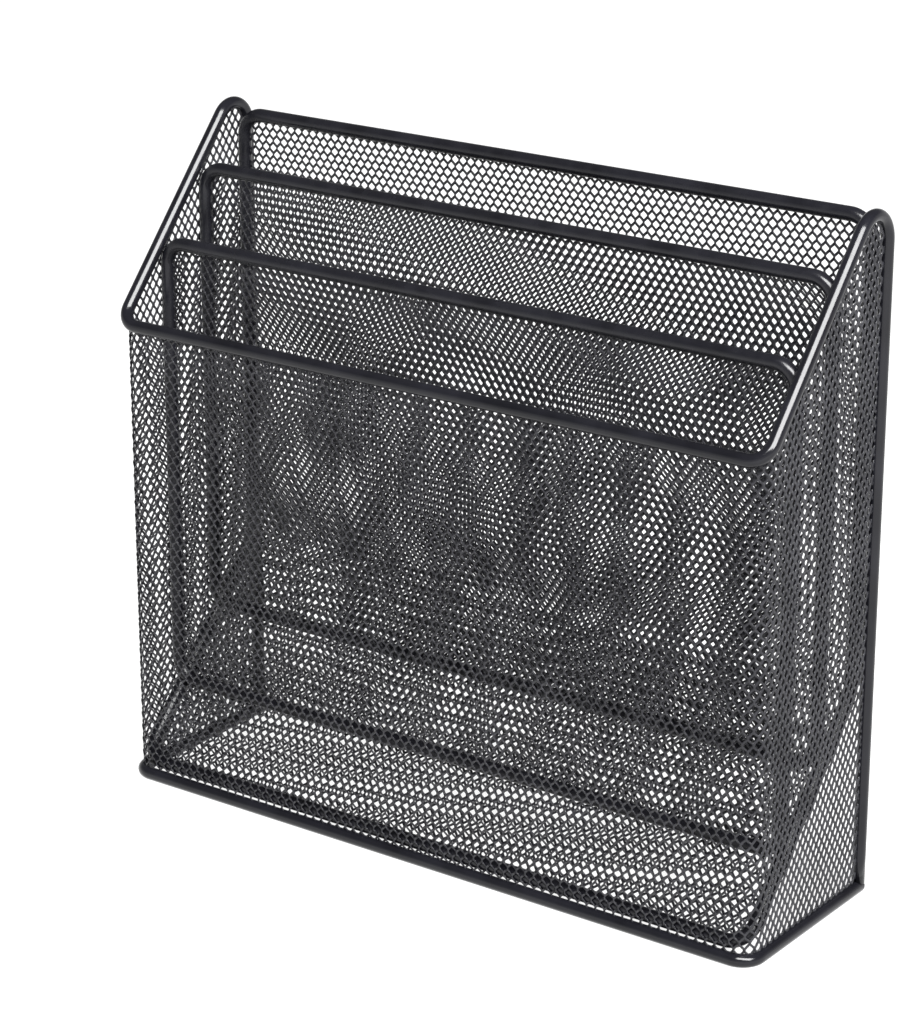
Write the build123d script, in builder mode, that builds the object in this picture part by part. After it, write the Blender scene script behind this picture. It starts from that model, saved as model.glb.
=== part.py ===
"""Upright desk file sorter with three compartments, made of steel wire and expanded metal.

Units are millimetres. +Z is up, +X is to the right and +Y is to the back. The origin lies on
the table, under the middle of the sorter. Two round wires carry the outer shape: a base wire
bent to a U, and a rim wire that rises up the back edges, folds over at two rounded peaks and
slopes down to the low front. One sheet of expanded metal wraps the front and both sides. The
sloped floor and the upright back are one panel: a closed loop of wire, bent where the floor
turns into the back, with a sheet of expanded metal bent along with it. Two dividers stand on
the floor, each a flat closed loop of wire with a sheet inside it. Every sheet of expanded
metal is drawn here as a plain thin sheet of the same outline.
"""

import os
from math import atan2, cos, degrees

from build123d import *

# Outer shape, measured between the centre lines of the wires
WIDTH = 320.0  # right side wire to left side wire
DEPTH = 87.0  # front wire to back wires
FRONT_HEIGHT = 208.0  # base wire to the front bar of the rim
PEAK_HEIGHT = 307.1  # base wire to the corner where the slope would meet the back edge
RIGHT_PEAK_RADIUS = 11.7  # bend of the rim over the right peak
LEFT_PEAK_RADIUS = 10.2  # bent a little tighter, so it stands slightly taller
CORNER_RADIUS = 8.5  # bends at the two front corners

# Stock
WIRE_DIAMETER = 5.6  # base and rim
FRAME_DIAMETER = 6.0  # loops of the floor and back panel and of the dividers
SHEET = 0.8  # expanded metal
BASE_FLAT = 0.3  # depth of the flat pressed along the underside of the base wire
END_ROUNDING = 2.2  # rounded edge at the two ends of the base wire

# Floor and back panel, heights measured from the centre of the base wire
FLOOR_FRONT_HEIGHT = 5.6  # of its front bar
FLOOR_BACK_HEIGHT = 89.3  # of the corner where the floor's slope would meet the back
BACK_SETBACK = 5.8  # the back stands this far in front of the rim's back edges
BACK_TOP = 285.5  # of its top bar
BEND_RADIUS = 25.0  # bend from the floor to the back

# Dividers, placed by their distance from the front wire and the height of their top bar
DIVIDER_PLACES = {"front_divider": (27.5, 238.7), "rear_divider": (53.7, 266.6)}
LOOP_RADIUS = 10.0  # rounded corners of the panel and the dividers

# Worked out from the dimensions above
WIRE_RADIUS = WIRE_DIAMETER / 2
FRAME_RADIUS = FRAME_DIAMETER / 2
SIDE_X = WIDTH / 2
FRONT_Y = -DEPTH / 2
BACK_Y = DEPTH / 2
BASE_Z = WIRE_RADIUS - BASE_FLAT  # centre of the base wire
FRONT_Z = BASE_Z + FRONT_HEIGHT
PEAK_Z = BASE_Z + PEAK_HEIGHT
LOOP_X = SIDE_X - SHEET / 2 - FRAME_RADIUS  # the loops' sides touch the side sheet
FLOOR_FRONT = (FRONT_Y + SHEET / 2 + FRAME_RADIUS, BASE_Z + FLOOR_FRONT_HEIGHT)  # y and z
FLOOR_BACK = (BACK_Y - BACK_SETBACK, BASE_Z + FLOOR_BACK_HEIGHT)
PANEL_TOP = (FLOOR_BACK[0], BASE_Z + BACK_TOP)
FLOOR_SLOPE = (FLOOR_BACK[1] - FLOOR_FRONT[1]) / (FLOOR_BACK[0] - FLOOR_FRONT[0])
FLOOR_ANGLE = atan2(FLOOR_SLOPE, 1)


def floor_height(y):
    """Height of the middle of the floor sheet at a distance y from the origin."""
    return FLOOR_FRONT[1] + (y - FLOOR_FRONT[0]) * FLOOR_SLOPE


def make_wire(path, radii, radius, closed=False):
    """Round wire along straight runs joined by tangent bends."""
    with BuildPart() as wire:
        with BuildLine() as centre_line:
            FilletPolyline(*path, radius=radii, close=closed)
        start = Plane(origin=centre_line.line @ 0, z_dir=centre_line.line % 0)
        with BuildSketch(start):
            Circle(radius)
        sweep()
    return wire.part


def make_divider_sheet(y, bottom, top, loop):
    """Flat sheet that fills a divider's loop, up to the wire."""
    middle = Plane(origin=(0, y, (top + bottom) / 2), x_dir=(1, 0, 0), z_dir=(0, -1, 0))
    with BuildPart() as sheet:
        with BuildSketch(middle):
            RectangleRounded(2 * LOOP_X, top - bottom, LOOP_RADIUS)
        extrude(amount=SHEET / 2, both=True)
        add(loop, mode=Mode.SUBTRACT)
    return sheet.part


# Base wire: right side, front and left side in one bent piece, pressed flat underneath
base_path = [
    (SIDE_X, BACK_Y + WIRE_RADIUS, BASE_Z),
    (SIDE_X, FRONT_Y, BASE_Z),
    (-SIDE_X, FRONT_Y, BASE_Z),
    (-SIDE_X, BACK_Y + WIRE_RADIUS, BASE_Z),
]
with BuildPart() as base_wire:
    add(make_wire(base_path, CORNER_RADIUS, WIRE_RADIUS))
    fillet(base_wire.edges().filter_by(GeomType.CIRCLE).group_by(Axis.Y)[-1], END_ROUNDING)
    with BuildSketch(Plane.XY):
        Rectangle(WIDTH + 2 * WIRE_DIAMETER, DEPTH + 2 * WIRE_DIAMETER)
    extrude(amount=-WIRE_DIAMETER, mode=Mode.SUBTRACT)
base_wire.part.label = "base_wire"

# Rim wire: up the right back edge, over the peak, down the slope, along the front and back up
rim_path = [
    (SIDE_X, BACK_Y, BASE_Z),
    (SIDE_X, BACK_Y, PEAK_Z),
    (SIDE_X, FRONT_Y, FRONT_Z),
    (-SIDE_X, FRONT_Y, FRONT_Z),
    (-SIDE_X, BACK_Y, PEAK_Z),
    (-SIDE_X, BACK_Y, BASE_Z),
]
rim_radii = [RIGHT_PEAK_RADIUS, CORNER_RADIUS, CORNER_RADIUS, LEFT_PEAK_RADIUS]
with BuildPart() as rim_wire:
    add(make_wire(rim_path, rim_radii, WIRE_RADIUS))
    # Each lower end is shaped to the base wire that it is welded onto
    add(base_wire.part, mode=Mode.SUBTRACT)
rim_wire.part.label = "rim_wire"

# Room inside the rim: level in front of the front wire, then up the slope and over the peak
with BuildPart() as rim_outline:
    for side, peak_radius in ((1, RIGHT_PEAK_RADIUS), (-1, LEFT_PEAK_RADIUS)):
        with BuildSketch(Plane.YZ) as side_outline:
            Polygon(
                (FRONT_Y - WIRE_DIAMETER, BASE_Z),
                (BACK_Y, BASE_Z),
                (BACK_Y, PEAK_Z),
                (FRONT_Y, FRONT_Z),
                (FRONT_Y - WIRE_DIAMETER, FRONT_Z),
                align=None,
            )
            fillet(side_outline.vertices().sort_by(Axis.Y)[-1], peak_radius)
        extrude(amount=side * WIDTH)

# Body sheet: one piece round the left side, the front and the right side
with BuildPart() as body_mesh:
    with BuildLine() as body_line:
        FilletPolyline(
            (SIDE_X, BACK_Y, BASE_Z),
            (SIDE_X, FRONT_Y, BASE_Z),
            (-SIDE_X, FRONT_Y, BASE_Z),
            (-SIDE_X, BACK_Y, BASE_Z),
            radius=CORNER_RADIUS,
        )
    with BuildSketch(Plane(origin=body_line.line @ 0, x_dir=(1, 0, 0), z_dir=(0, -1, 0))):
        Rectangle(SHEET, PEAK_HEIGHT, align=(Align.CENTER, Align.MIN))
    sweep()
    add(rim_outline.part, mode=Mode.INTERSECT)
    add(rim_wire.part, mode=Mode.SUBTRACT)
    add(base_wire.part, mode=Mode.SUBTRACT)
body_mesh.part.label = "body_mesh"

# Floor and back panel: its loop, then its sheet, bent alike
panel_path = [
    (LOOP_X, *FLOOR_FRONT),
    (LOOP_X, *FLOOR_BACK),
    (LOOP_X, *PANEL_TOP),
    (-LOOP_X, *PANEL_TOP),
    (-LOOP_X, *FLOOR_BACK),
    (-LOOP_X, *FLOOR_FRONT),
]
panel_radii = [LOOP_RADIUS, BEND_RADIUS, LOOP_RADIUS, LOOP_RADIUS, BEND_RADIUS, LOOP_RADIUS]
floor_back_frame = make_wire(panel_path, panel_radii, FRAME_RADIUS, closed=True)
floor_back_frame.label = "floor_back_frame"

with BuildPart() as floor_back_mesh:
    with BuildSketch(Plane.YZ):
        with BuildLine():
            FilletPolyline(FLOOR_FRONT, FLOOR_BACK, PANEL_TOP, radius=BEND_RADIUS)
        trace(line_width=SHEET)
    extrude(amount=LOOP_X, both=True)
    corners = floor_back_mesh.edges().filter_by(lambda edge: edge.length < 2 * SHEET)
    fillet(corners, LOOP_RADIUS)
    add(floor_back_frame, mode=Mode.SUBTRACT)
floor_back_mesh.part.label = "floor_back_mesh"

# Dividers: upright loops whose bottom bars rest on the floor sheet
pieces = [
    base_wire.part,
    rim_wire.part,
    body_mesh.part,
    floor_back_frame,
    floor_back_mesh.part,
]
bar_above_floor = (FRAME_RADIUS + SHEET / 2) / cos(FLOOR_ANGLE)
for name, (place, height) in DIVIDER_PLACES.items():
    divider_y = FRONT_Y + place
    bottom = floor_height(divider_y) + bar_above_floor
    top = BASE_Z + height
    divider_path = [
        (LOOP_X, divider_y, bottom),
        (LOOP_X, divider_y, top),
        (-LOOP_X, divider_y, top),
        (-LOOP_X, divider_y, bottom),
    ]
    loop = make_wire(divider_path, LOOP_RADIUS, FRAME_RADIUS, closed=True)
    loop.label = f"{name}_frame"
    panel = make_divider_sheet(divider_y, bottom, top, loop)
    panel.label = f"{name}_mesh"
    pieces += [loop, panel]

os.makedirs("parts", exist_ok=True)
for piece in pieces:
    export_step(piece, f"parts/{piece.label}.step")
print(f"floor slope {degrees(FLOOR_ANGLE):.2f} degrees, {len(pieces)} pieces")
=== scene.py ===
"""Looks of an upright desk file sorter in black-coated wire and expanded metal.

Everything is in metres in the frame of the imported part: +Z up, +X to the right, +Y to the back.
The wires are smooth tubes on the same centre lines as the CAD solids, and every plain CAD sheet
is replaced by real expanded metal: strands, bonds and open holes, cut off at the wires.
"""

import math

import bpy
import numpy as np
from mathutils import Matrix, Vector


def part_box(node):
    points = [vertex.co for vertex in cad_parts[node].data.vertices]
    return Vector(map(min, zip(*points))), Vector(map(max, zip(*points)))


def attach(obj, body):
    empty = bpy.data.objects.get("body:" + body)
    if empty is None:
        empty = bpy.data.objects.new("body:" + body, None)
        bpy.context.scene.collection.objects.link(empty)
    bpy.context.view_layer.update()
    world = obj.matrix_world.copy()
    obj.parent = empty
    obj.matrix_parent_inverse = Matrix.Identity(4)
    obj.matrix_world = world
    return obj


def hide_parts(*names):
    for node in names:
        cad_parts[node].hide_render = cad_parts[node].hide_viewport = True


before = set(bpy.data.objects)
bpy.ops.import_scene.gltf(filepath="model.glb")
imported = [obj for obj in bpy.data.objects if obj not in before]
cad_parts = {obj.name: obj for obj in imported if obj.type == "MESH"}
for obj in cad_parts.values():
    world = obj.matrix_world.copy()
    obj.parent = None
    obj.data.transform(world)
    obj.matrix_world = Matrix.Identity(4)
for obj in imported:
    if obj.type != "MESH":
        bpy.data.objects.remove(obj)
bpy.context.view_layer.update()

# ---------------------------------------------------------------- driving dimensions
WIRE_R = 0.0028  # base and rim wires
LOOP_WIRE_R = 0.0030  # loops of the dividers and of the floor and back panel
END_ROUNDING = 0.0022  # rounded edge at the two ends of the base wire
RIM_FOOT = 0.6  # the rim's ends stop inside the base wire, this share of its radius above its centre
CORNER_R = 0.0085  # bends at the front corners
RIGHT_PEAK_R = 0.0117  # bend of the rim over the right peak
LEFT_PEAK_R = 0.0102  # the left peak is bent a little tighter
LOOP_CORNER_R = 0.0100  # rounded corners of the loops
BEND_R = 0.0250  # bend between the floor and the back
FRONT_HEIGHT = 0.2080  # base wire to front bar of the rim
PEAK_HEIGHT = 0.3071  # base wire to the corner where slope and back edge would meet
FLOOR_FRONT_HEIGHT = 0.0056  # base wire to the front bar of the floor
FLOOR_BACK_HEIGHT = 0.0893  # base wire to the corner where floor and back would meet

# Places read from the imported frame
rim_low, rim_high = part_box("rim_wire")
base_low, base_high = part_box("base_wire")
panel_low, panel_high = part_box("floor_back_frame")
SIDE_X = rim_high.x - WIRE_R
FRONT_Y = rim_low.y + WIRE_R
BACK_Y = rim_high.y - WIRE_R
BASE_Z = base_high.z - WIRE_R
FRONT_Z = BASE_Z + FRONT_HEIGHT
PEAK_Z = BASE_Z + PEAK_HEIGHT
DEPTH = BACK_Y - FRONT_Y
RIM_SLOPE = math.atan2(PEAK_HEIGHT - FRONT_HEIGHT, DEPTH)
PANEL_X = panel_high.x - LOOP_WIRE_R
PANEL_PROFILE = (  # y and z of the panel's centre line: front bar, bend, top bar
    (panel_low.y + LOOP_WIRE_R, BASE_Z + FLOOR_FRONT_HEIGHT),
    (panel_high.y - LOOP_WIRE_R, BASE_Z + FLOOR_BACK_HEIGHT),
    (panel_high.y - LOOP_WIRE_R, panel_high.z - LOOP_WIRE_R),
)


# ---------------------------------------------------------------- small helpers
def own(obj, node):
    """Puts a finished piece in place of a CAD node."""
    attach(obj, "root")
    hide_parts(node)
    return obj


def new_object(name, verts, faces, material):
    mesh = bpy.data.meshes.new(name)
    mesh.from_pydata([tuple(v) for v in verts], [], [tuple(f) for f in faces])
    mesh.materials.append(material)
    obj = bpy.data.objects.new(name, mesh)
    bpy.context.scene.collection.objects.link(obj)
    return obj


# ---------------------------------------------------------------- materials
NOISE_RANGE = (0.3, 0.7)  # where most of a noise pattern's values lie
NOISE_ROUGHNESS = 0.5


class Nodes:
    """Short calls for one material's node tree."""

    def __init__(self, name, colour, roughness):
        self.material = bpy.data.materials.new(name)
        self.material.use_nodes = True
        self.tree = self.material.node_tree
        self.shader = self.tree.nodes["Principled BSDF"]
        self.shader.inputs["Base Color"].default_value = (*colour, 1)
        self.shader.inputs["Roughness"].default_value = roughness
        self.place = self.tree.nodes.new("ShaderNodeTexCoord").outputs["Object"]

    def link(self, output, target):
        self.tree.links.new(output, target)

    def noise(self, scale, detail=3.0):
        node = self.tree.nodes.new("ShaderNodeTexNoise")
        node.inputs["Scale"].default_value = scale
        node.inputs["Detail"].default_value = detail
        node.inputs["Roughness"].default_value = NOISE_ROUGHNESS
        self.link(self.place, node.inputs["Vector"])
        return node.outputs["Fac"]

    def spread(self, value, low, high):
        """Maps a 0 to 1 pattern onto a range of values."""
        node = self.tree.nodes.new("ShaderNodeMapRange")
        node.inputs["From Min"].default_value, node.inputs["From Max"].default_value = NOISE_RANGE
        node.inputs["To Min"].default_value = low
        node.inputs["To Max"].default_value = high
        self.link(value, node.inputs["Value"])
        return node.outputs["Result"]

    def blend(self, factor, colour_a, colour_b):
        node = self.tree.nodes.new("ShaderNodeMix")
        node.data_type = "RGBA"
        node.inputs["A"].default_value = (*colour_a, 1)
        node.inputs["B"].default_value = (*colour_b, 1)
        self.link(factor, node.inputs["Factor"])
        return node.outputs["Result"]

    def bump(self, height, depth):
        node = self.tree.nodes.new("ShaderNodeBump")
        node.inputs["Distance"].default_value = depth
        node.inputs["Strength"].default_value = 1.0
        self.link(height, node.inputs["Height"])
        self.link(node.outputs["Normal"], self.shader.inputs["Normal"])


# Enamel: the darkest and the palest tone, and the range of its roughness
WIRE_TONES = ((0.003, 0.003, 0.004), (0.006, 0.006, 0.008))
MESH_TONES = ((0.008, 0.008, 0.010), (0.018, 0.018, 0.021))
MESH_ROUGHNESS = (0.20, 0.32)


def gloss_black(name, roughness, peel):
    """Baked enamel on round wire: nearly black, glossy, with a faint orange peel."""
    n = Nodes(name, WIRE_TONES[0], roughness)
    n.shader.inputs["Specular IOR Level"].default_value = 0.28
    tone = n.spread(n.noise(45.0), 0.0, 1.0)
    n.link(n.blend(tone, *WIRE_TONES), n.shader.inputs["Base Color"])
    n.link(n.spread(n.noise(180.0), roughness * 0.75, roughness * 1.35), n.shader.inputs["Roughness"])
    n.bump(n.noise(900.0, detail=1.5), depth=peel)
    return n.material


def mesh_black(name):
    """The same enamel on thin strands, a little paler and duller than on the wires."""
    n = Nodes(name, MESH_TONES[0], MESH_ROUGHNESS[0])
    n.shader.inputs["Specular IOR Level"].default_value = 0.3
    tone = n.spread(n.noise(60.0), 0.0, 1.0)
    n.link(n.blend(tone, *MESH_TONES), n.shader.inputs["Base Color"])
    n.link(n.spread(n.noise(400.0), *MESH_ROUGHNESS), n.shader.inputs["Roughness"])
    return n.material


RIM_PAINT = gloss_black("rim_enamel", roughness=0.15, peel=0.00002)
LOOP_PAINT = gloss_black("loop_enamel", roughness=0.24, peel=0.00003)
MESH_PAINT = mesh_black("mesh_enamel")


# ---------------------------------------------------------------- wires
def bent_path(corners, radii, closed=False, degrees_per_step=6.0):
    """Points along straight runs joined by tangent arcs, one radius for each bend."""
    points = [Vector(c) for c in corners]
    count = len(points)
    bends = range(count) if closed else range(1, count - 1)
    path = [] if closed else [points[0]]
    for bend, radius in zip(bends, radii):
        here = points[bend]
        back = (points[bend - 1] - here).normalized()
        on = (points[(bend + 1) % count] - here).normalized()
        half = back.angle(on) / 2
        centre = here + (back + on).normalized() * (radius / math.sin(half))
        start = here + back * (radius / math.tan(half)) - centre
        turn = math.pi - 2 * half
        axis = (-back).cross(on).normalized()
        steps = max(2, round(math.degrees(turn) / degrees_per_step))
        for i in range(steps + 1):
            path.append(centre + Matrix.Rotation(turn * i / steps, 3, axis) @ start)
    if not closed:
        path.append(points[-1])
    return path


def subdivided(path, closed, longest=0.012):
    """The same path with its long runs divided, so that a tube has even faces."""
    points = []
    pairs = list(zip(path, path[1:] + path[:1])) if closed else list(zip(path, path[1:]))
    for a, b in pairs:
        steps = max(1, math.ceil((b - a).length / longest))
        points += [a.lerp(b, i / steps) for i in range(steps)]
    return points if closed else points + [path[-1]]


def rounded_end(end, inner, radius, rounding, steps=6):
    """(points, radii) that round the edge of a tube's end, from the end face inwards."""
    inwards = (inner - end).normalized()
    angles = [math.pi / 2 * i / steps for i in range(steps + 1)]
    points = [end + inwards * (rounding * (1 - math.cos(a))) for a in angles]
    return points, [radius - rounding + rounding * math.sin(a) for a in angles]


def tube(name, path, radius, material, closed=False, sides=28, lowest=None, rounding=0.0):
    """Round wire along a path, with rounded ends and a flat at a lowest height if given."""
    path = subdivided(path, closed)
    radii = [radius] * len(path)
    if rounding:
        start, start_radii = rounded_end(path[0], path[1], radius, rounding)
        end, end_radii = rounded_end(path[-1], path[-2], radius, rounding)
        path = start + path[1:-1] + end[::-1]
        radii = start_radii + radii[1:-1] + end_radii[::-1]
    count = len(path)
    tangents = []
    for i, point in enumerate(path):
        before = path[i - 1] if closed or i else point
        after = path[(i + 1) % count] if closed or i < count - 1 else point
        tangents.append((after - before).normalized())
    up = Vector((0, 0, 1)) if abs(tangents[0].z) < 0.9 else Vector((0, 1, 0))
    across = tangents[0].cross(up).normalized()
    verts = []
    for i, (point, tangent) in enumerate(zip(path, tangents)):
        if i:
            across = tangents[i - 1].rotation_difference(tangent) @ across
        across = (across - tangent * across.dot(tangent)).normalized()
        other = tangent.cross(across)
        for k in range(sides):
            a = 2 * math.pi * k / sides
            v = point + (across * math.cos(a) + other * math.sin(a)) * radii[i]
            if lowest is not None:
                v.z = max(v.z, lowest)
            verts.append(v)
    faces = []
    for i in range(count if closed else count - 1):
        here, there = i * sides, (i + 1) % count * sides
        for k in range(sides):
            on = (k + 1) % sides
            faces.append((here + k, here + on, there + on, there + k))
    if not closed:
        faces.append(tuple(reversed(range(sides))))
        faces.append(tuple(range((count - 1) * sides, count * sides)))
    obj = new_object(name, verts, faces, material)
    for polygon in obj.data.polygons:
        polygon.use_smooth = len(polygon.vertices) == 4
    return obj


def make_base_wire():
    corners = [
        (SIDE_X, BACK_Y + WIRE_R, BASE_Z),
        (SIDE_X, FRONT_Y, BASE_Z),
        (-SIDE_X, FRONT_Y, BASE_Z),
        (-SIDE_X, BACK_Y + WIRE_R, BASE_Z),
    ]
    path = bent_path(corners, [CORNER_R] * 2)
    wire = tube("base_tube", path, WIRE_R, RIM_PAINT, lowest=0.0, rounding=END_ROUNDING)
    return own(wire, "base_wire")


def make_rim_wire():
    foot = BASE_Z + WIRE_R * RIM_FOOT
    corners = [
        (SIDE_X, BACK_Y, foot),
        (SIDE_X, BACK_Y, PEAK_Z),
        (SIDE_X, FRONT_Y, FRONT_Z),
        (-SIDE_X, FRONT_Y, FRONT_Z),
        (-SIDE_X, BACK_Y, PEAK_Z),
        (-SIDE_X, BACK_Y, foot),
    ]
    path = bent_path(corners, [RIGHT_PEAK_R, CORNER_R, CORNER_R, LEFT_PEAK_R])
    return own(tube("rim_tube", path, WIRE_R, RIM_PAINT), "rim_wire")


def loop_place(node):
    """(half width, y, bottom, top) of a loop's centre line, from its CAD box."""
    low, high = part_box(node)
    return (
        high.x - LOOP_WIRE_R,
        (low.y + high.y) / 2,
        low.z + LOOP_WIRE_R,
        high.z - LOOP_WIRE_R,
    )


def make_loop(node, name):
    half, y, bottom, top = loop_place(node)
    corners = [(half, y, bottom), (half, y, top), (-half, y, top), (-half, y, bottom)]
    path = bent_path(corners, [LOOP_CORNER_R] * 4, closed=True)
    return own(tube(name, path, LOOP_WIRE_R, LOOP_PAINT, closed=True), node)


def make_panel_loop():
    right = [(PANEL_X, y, z) for y, z in PANEL_PROFILE]
    left = [(-PANEL_X, y, z) for y, z in reversed(PANEL_PROFILE)]
    path = bent_path(right + left, [LOOP_CORNER_R, BEND_R, LOOP_CORNER_R] * 2, closed=True)
    wire = tube("floor_back_loop", path, LOOP_WIRE_R, LOOP_PAINT, closed=True)
    return own(wire, "floor_back_frame")


# ---------------------------------------------------------------- expanded metal
METAL = 0.00045  # thickness of the metal itself
STRAND = 0.00085  # width of a strand
PANEL_STRAND = 0.00100  # wider on the floor and back
BOND = 0.0010  # width of the bond between two holes
BOND_RISE = 0.32  # half height of a bond's flat side, as a share of its width
LEAN = -0.00030  # depth of a hole's right edge from the middle of the sheet

# One diamond's width and height, from bond to bond
BODY_PITCH = (0.00436, 0.00606)
PANEL_PITCH = (0.00401, 0.00613)
DIVIDER_PITCH = (0.00391, 0.00620)


class Weave:
    """The pattern of one expanded sheet: diamonds, taller than wide, in staggered columns.

    pitch is the width and height of one diamond from bond to bond. The strands lean, so each
    hole's right edge, seen from outside or from the front, lies deeper than its left edge.
    """

    def __init__(self, pitch, strand=STRAND, bond=BOND, lean=LEAN, turn=0.0, shift=(0, 0)):
        self.width, self.height = pitch
        self.half_hole = self.width / 2 - bond / 2
        self.bond_rise = bond * BOND_RISE
        self.tip = self.find_tip(strand)
        self.lean = lean
        self.turn = math.radians(turn)
        self.shift = shift

    def find_tip(self, strand):
        """Half height of a hole that leaves strands of the wanted width."""
        low, high = self.bond_rise, self.height / 2
        for _ in range(40):
            tip = (low + high) / 2
            run, rise = self.half_hole, tip - self.bond_rise
            gap_x = self.width / 2 - self.half_hole
            gap_z = self.height / 2 - tip - self.bond_rise
            wide = (gap_x * rise + gap_z * run) / math.hypot(run, rise)
            low, high = (tip, high) if wide > strand else (low, tip)
        return low

    def cover(self, low, high):
        """(points as u, v, depth; faces) of the pattern over a box of the flat sheet."""
        reach = 0.5 * math.hypot(high[0] - low[0], high[1] - low[1])
        columns = math.ceil(reach / (self.width / 2)) + 3
        rows = math.ceil(reach / (self.height / 2)) + 3
        i, j = np.meshgrid(np.arange(-columns, columns + 1), np.arange(-rows, rows + 1), indexing="ij")
        centre = np.array([(low[0] + high[0]) / 2, (low[1] + high[1]) / 2])
        p = i * self.width / 2 + self.shift[0] * self.width
        q = j * self.height / 2 + self.shift[1] * self.height
        c, s = math.cos(self.turn), math.sin(self.turn)
        margin = max(self.width, self.height) * 1.5
        u0, v0 = centre[0] + p * c - q * s, centre[1] + p * s + q * c
        used = (i + j) % 2 == 0
        used &= (u0 > low[0] - margin) & (u0 < high[0] + margin)
        used &= (v0 > low[1] - margin) & (v0 < high[1] + margin)
        index = np.full(i.shape, -1)
        index[used] = np.arange(used.sum())
        hw, rise, tip = self.half_hole, self.bond_rise, self.tip
        ring = np.array([(hw, -rise), (hw, rise), (0, tip), (-hw, rise), (-hw, -rise), (0, -tip)])
        depth = np.array([1, 1, 0, -1, -1, 0]) * self.lean
        a = p[used][:, None] + ring[None, :, 0]
        b = q[used][:, None] + ring[None, :, 1]
        points = np.stack(
            [centre[0] + a * c - b * s, centre[1] + a * s + b * c, np.broadcast_to(depth, a.shape)],
            axis=-1,
        ).reshape(-1, 3)

        def hole(di, dj):
            """Number of the hole that lies di, dj steps from each hole, or -1."""
            return np.roll(np.roll(index, -di, 0), -dj, 1)

        here, upper_right, upper_left = hole(0, 0), hole(1, 1), hole(-1, 1)
        right, lower_right = hole(2, 0), hole(1, -1)

        def faces(*corners):
            """Faces from (hole numbers, corner of that hole's ring) for every place where all exist."""
            there = np.logical_and.reduce([h >= 0 for h, _ in corners])
            there[:2], there[-2:], there[:, :1], there[:, -1:] = False, False, False, False
            return np.stack([h[there] * 6 + k for h, k in corners], axis=1).tolist()

        strands = faces((here, 1), (upper_right, 5), (upper_right, 4), (here, 2))
        strands += faces((here, 3), (here, 2), (upper_left, 0), (upper_left, 5))
        bonds = faces(
            (here, 0), (lower_right, 2), (right, 4), (right, 3), (upper_right, 5), (here, 1)
        )
        return points, strands + bonds


def cut(points, faces, *outside):
    """Cuts faces off where any outside(u, v) is above zero, on the line where it is zero."""
    points = [tuple(p) for p in points]
    for test in outside:
        flat = np.array(points)
        out = test(flat[:, 0], flat[:, 1]).tolist()
        made, kept = {}, []
        for face in faces:
            over = [out[k] > 0 for k in face]
            if not any(over):
                kept.append(face)
            if all(over) or not any(over):
                continue
            piece = []
            for k, (a, b) in enumerate(zip(face, face[1:] + face[:1])):
                if not over[k]:
                    piece.append(a)
                if over[k] != over[(k + 1) % len(face)]:
                    key = (min(a, b), max(a, b))
                    if key not in made:
                        t = out[key[0]] / (out[key[0]] - out[key[1]])
                        one, two = points[key[0]], points[key[1]]
                        made[key] = len(points)
                        points.append(tuple(p + (q - p) * t for p, q in zip(one, two)))
                    piece.append(made[key])
            if len(piece) > 2:
                kept.append(piece)
        faces = kept
    return np.array(points), faces


def expanded_sheet(name, points, faces, place):
    """Object made of flat lattice faces, put in space by place(u, v, depth) and given thickness."""
    used = sorted({k for f in faces for k in f})
    number = {k: i for i, k in enumerate(used)}
    faces = [[number[k] for k in f] for f in faces]
    flat = points[used]
    solid = place(flat[:, 0], flat[:, 1], flat[:, 2])
    obj = new_object(name, solid.tolist(), faces, MESH_PAINT)
    obj.data.shade_smooth()
    thick = obj.modifiers.new("thickness", "SOLIDIFY")
    thick.thickness = METAL
    thick.offset = 0.0
    size = np.ptp(flat[:, :2], axis=0).max()
    corner = flat[:, :2].min(axis=0)
    layout = obj.data.uv_layers.new(name="OFBake")
    loops = np.zeros(len(obj.data.loops), int)
    obj.data.loops.foreach_get("vertex_index", loops)
    layout.data.foreach_set("uv", (((flat[:, :2] - corner) / size)[loops]).ravel())
    return obj


def rim_outline(y, z, peak_r):
    """Above zero outside a side's outline: slope, rounded peak and back edge."""
    slope = (z - FRONT_Z) * math.cos(RIM_SLOPE) - (y - FRONT_Y) * math.sin(RIM_SLOPE)
    back = y - BACK_Y
    half = (math.pi / 2 - RIM_SLOPE) / 2
    centre_y, centre_z = BACK_Y - peak_r, PEAK_Z - peak_r / math.tan(half)
    dy, dz = y - centre_y, z - centre_z
    angle = np.arctan2(dz, dy)
    at_peak = (angle > 0) & (angle < RIM_SLOPE + math.pi / 2)
    return np.where(at_peak, np.hypot(dy, dz) - peak_r, np.maximum(slope, back))


def rounded_box(half_width, bottom, top, radius):
    """A test that is above zero outside a box with rounded corners."""
    middle, half_height = (bottom + top) / 2, (top - bottom) / 2

    def outside(u, v):
        across = np.abs(u) - half_width + radius
        along = np.abs(v - middle) - half_height + radius
        corner = np.hypot(np.maximum(across, 0), np.maximum(along, 0))
        return corner + np.minimum(np.maximum(across, along), 0) - radius

    return outside


FRONT_FLAT = SIDE_X - CORNER_R  # half of the flat front
BEND = CORNER_R * math.pi / 2  # sheet in one front bend
SIDE_FLAT = DEPTH - CORNER_R
BODY_HALF = FRONT_FLAT + BEND + SIDE_FLAT  # half of the unrolled body sheet


def body_plan(u):
    """(x, y, outward x, outward y) of the body sheet at a distance u along it from its middle."""
    side, along = np.sign(u), np.abs(u)
    angle = np.clip((along - FRONT_FLAT) / CORNER_R, 0, math.pi / 2)
    straight = np.maximum(along - FRONT_FLAT - BEND, 0)
    x = side * (np.minimum(along, FRONT_FLAT) + CORNER_R * np.sin(angle))
    y = FRONT_Y + CORNER_R * (1 - np.cos(angle)) + straight
    return x, y, side * np.sin(angle), -np.cos(angle)


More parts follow.
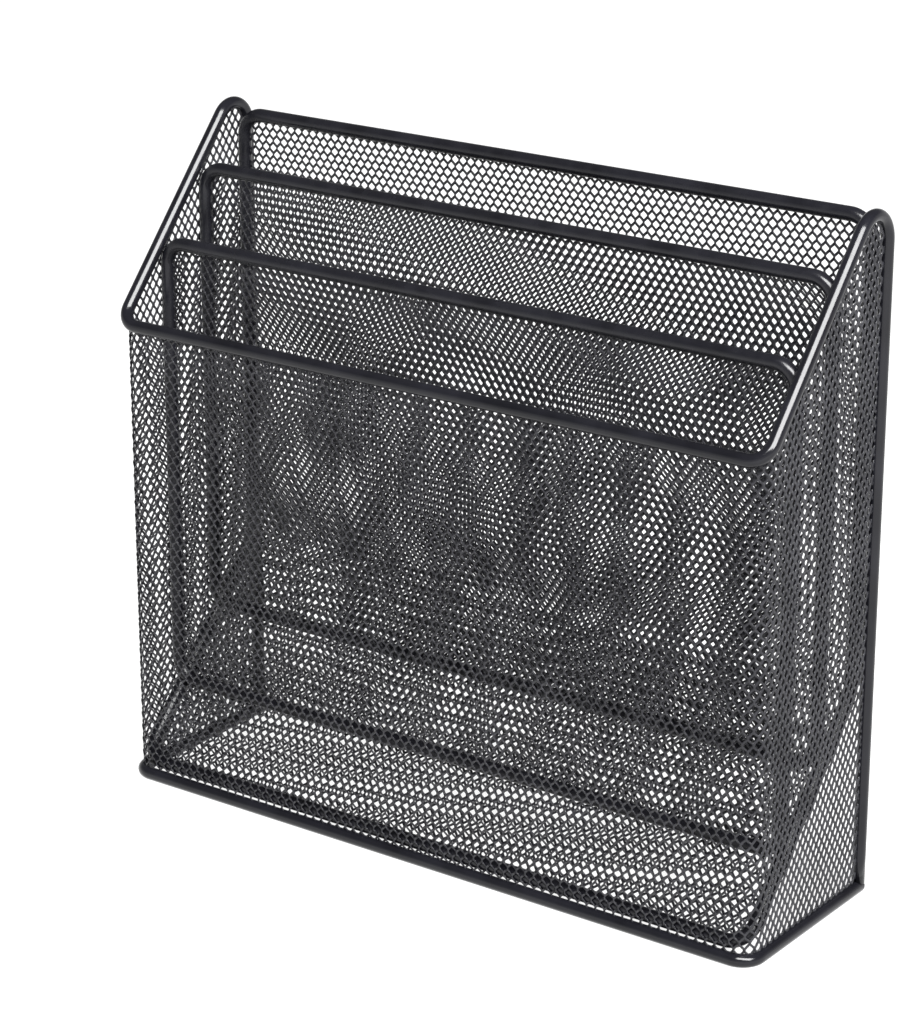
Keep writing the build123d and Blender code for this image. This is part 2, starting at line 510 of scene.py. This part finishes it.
def make_body_sheet(weave):
    points, faces = weave.cover((-BODY_HALF, BASE_Z), (BODY_HALF, PEAK_Z))
    points, faces = cut(
        points,
        faces,
        lambda u, v: BASE_Z - v,
        lambda u, v: rim_outline(body_plan(u)[1], v, np.where(u > 0, RIGHT_PEAK_R, LEFT_PEAK_R)),
        lambda u, v: np.abs(u) - BODY_HALF,
    )

    def place(u, v, depth):
        x, y, out_x, out_y = body_plan(u)
        return np.stack([x + out_x * depth, y + out_y * depth, v], axis=1)

    return own(expanded_sheet("body_lattice", points, faces, place), "body_mesh")


def make_panel_sheet(weave):
    """Floor and back in one bent sheet, laid out flat along its profile."""
    (front_y, front_z), (back_y, bend_z), (_, top_z) = PANEL_PROFILE
    slope = math.atan2(bend_z - front_z, back_y - front_y)
    turn = math.pi / 2 - slope
    cut_back = BEND_R * math.tan(turn / 2)  # from the corner to where the bend starts
    floor_flat = math.hypot(back_y - front_y, bend_z - front_z) - cut_back
    bend = BEND_R * turn
    length = floor_flat + bend + top_z - bend_z - cut_back
    points, faces = weave.cover((-PANEL_X, 0), (PANEL_X, length))
    points, faces = cut(points, faces, rounded_box(PANEL_X, 0, length, LOOP_CORNER_R))

    def place(u, v, depth):
        angle = slope + np.clip(v - floor_flat, 0, bend) / BEND_R
        on_floor = np.minimum(v, floor_flat)
        up_back = np.maximum(v - floor_flat - bend, 0)
        y = front_y + on_floor * math.cos(slope) + BEND_R * (np.sin(angle) - math.sin(slope))
        z = front_z + on_floor * math.sin(slope) - BEND_R * (np.cos(angle) - math.cos(slope)) + up_back
        return np.stack([u, y - depth * np.sin(angle), z + depth * np.cos(angle)], axis=1)

    piece = expanded_sheet("floor_back_lattice", points, faces, place)
    return own(piece, "floor_back_mesh")


def make_loop_sheet(node, frame_node, name, weave):
    half, y, bottom, top = loop_place(frame_node)
    points, faces = weave.cover((-half, bottom), (half, top))
    points, faces = cut(points, faces, rounded_box(half, bottom, top, LOOP_CORNER_R))

    def place(u, v, depth):
        return np.stack([u, y - depth, v], axis=1)

    return own(expanded_sheet(name, points, faces, place), node)


# ---------------------------------------------------------------- the sorter
make_base_wire()
make_rim_wire()
make_loop("front_divider_frame", "front_divider_loop")
make_loop("rear_divider_frame", "rear_divider_loop")
make_panel_loop()

make_body_sheet(Weave(BODY_PITCH, turn=0.9))
make_panel_sheet(Weave(PANEL_PITCH, strand=PANEL_STRAND, turn=-0.4, shift=(0.2, 0.4)))
make_loop_sheet(
    "front_divider_mesh", "front_divider_frame", "front_divider_lattice",
    Weave(DIVIDER_PITCH, turn=-0.7, shift=(0.3, 0.1)),
)
make_loop_sheet(
    "rear_divider_mesh", "rear_divider_frame", "rear_divider_lattice",
    Weave(DIVIDER_PITCH, turn=0.5, shift=(0.1, 0.3)),
)


# ---------------------------------------------------------------- stage, lights and camera
STAGE_SIZE = 20.0  # half side of the floor
STAGE_DROP = 0.0002  # just under the sorter, so that the two faces don't flicker
STAGE_GLOW = 0.88
CAMERA_PLACE = (0.7368, -1.0327, 0.5961)
CAMERA_DOWN, CAMERA_TURN = 19.4255, 36.126  # degrees below level, and to the left of +Y
CAMERA_LENS = 114.9


def make_floor():
    n = Nodes("stage_white", (0.2, 0.2, 0.2), 0.8)
    tone = n.spread(n.noise(3.0), 0.0, 1.0)
    n.link(n.blend(tone, (0.20, 0.20, 0.20), (0.21, 0.21, 0.21)), n.shader.inputs["Base Color"])
    n.shader.inputs["Specular IOR Level"].default_value = 0.0
    n.shader.inputs["Emission Color"].default_value = (1, 1, 1, 1)
    n.shader.inputs["Emission Strength"].default_value = STAGE_GLOW
    size = STAGE_SIZE
    corners = [(-size, -size, 0), (size, -size, 0), (size, size, 0), (-size, size, 0)]
    floor = new_object("stage_floor", corners, [(0, 1, 2, 3)], n.material)
    floor.location.z = -STAGE_DROP


def make_world():
    """Plain surroundings: pale near the floor, darker overhead."""
    world = bpy.data.worlds.new("studio")
    world.use_nodes = True
    tree = world.node_tree
    background = tree.nodes["Background"]
    background.inputs["Color"].default_value = (1, 1, 1, 1)
    direction = tree.nodes.new("ShaderNodeTexCoord").outputs["Generated"]
    split = tree.nodes.new("ShaderNodeSeparateXYZ")
    fade = tree.nodes.new("ShaderNodeMapRange")
    fade.interpolation_type = "SMOOTHSTEP"
    for key, number in (("From Min", 0.05), ("From Max", 0.5), ("To Min", 0.90), ("To Max", 0.15)):
        fade.inputs[key].default_value = number
    tree.links.new(direction, split.inputs["Vector"])
    tree.links.new(split.outputs["Z"], fade.inputs["Value"])
    tree.links.new(fade.outputs["Result"], background.inputs["Strength"])
    bpy.context.scene.world = world


def softbox(name, target, towards, along, distance, size, radiance):
    """Rectangular light facing the target, its long side running along a direction."""
    z = Vector(towards).normalized()
    y = z.cross(Vector(along)).normalized()
    x = y.cross(z)
    light = bpy.data.lights.new(name, "AREA")
    light.shape = "RECTANGLE"
    light.size, light.size_y = size
    light.energy = radiance * math.pi * size[0] * size[1]
    obj = bpy.data.objects.new(name, light)
    turned = Matrix((x, y, z)).transposed().to_4x4()
    obj.matrix_world = Matrix.Translation(Vector(target) + z * distance) @ turned
    bpy.context.scene.collection.objects.link(obj)


def make_camera():
    data = bpy.data.cameras.new("camera")
    data.lens = CAMERA_LENS
    data.sensor_width = 36.0
    data.clip_start, data.clip_end = 0.05, 60.0
    camera = bpy.data.objects.new("camera", data)
    camera.location = CAMERA_PLACE
    camera.rotation_euler = (math.radians(90 - CAMERA_DOWN), 0, math.radians(CAMERA_TURN))
    bpy.context.scene.collection.objects.link(camera)
    bpy.context.scene.camera = camera


make_floor()
make_world()
softbox(
    "key", target=(0, 0, 0.16), towards=(0.556, -0.428, 0.713), along=(0.818, 0.431, -0.380),
    distance=2.2, size=(2.3, 1.1), radiance=34.0,
)
make_camera()
bpy.context.scene.view_settings.view_transform = "Standard"
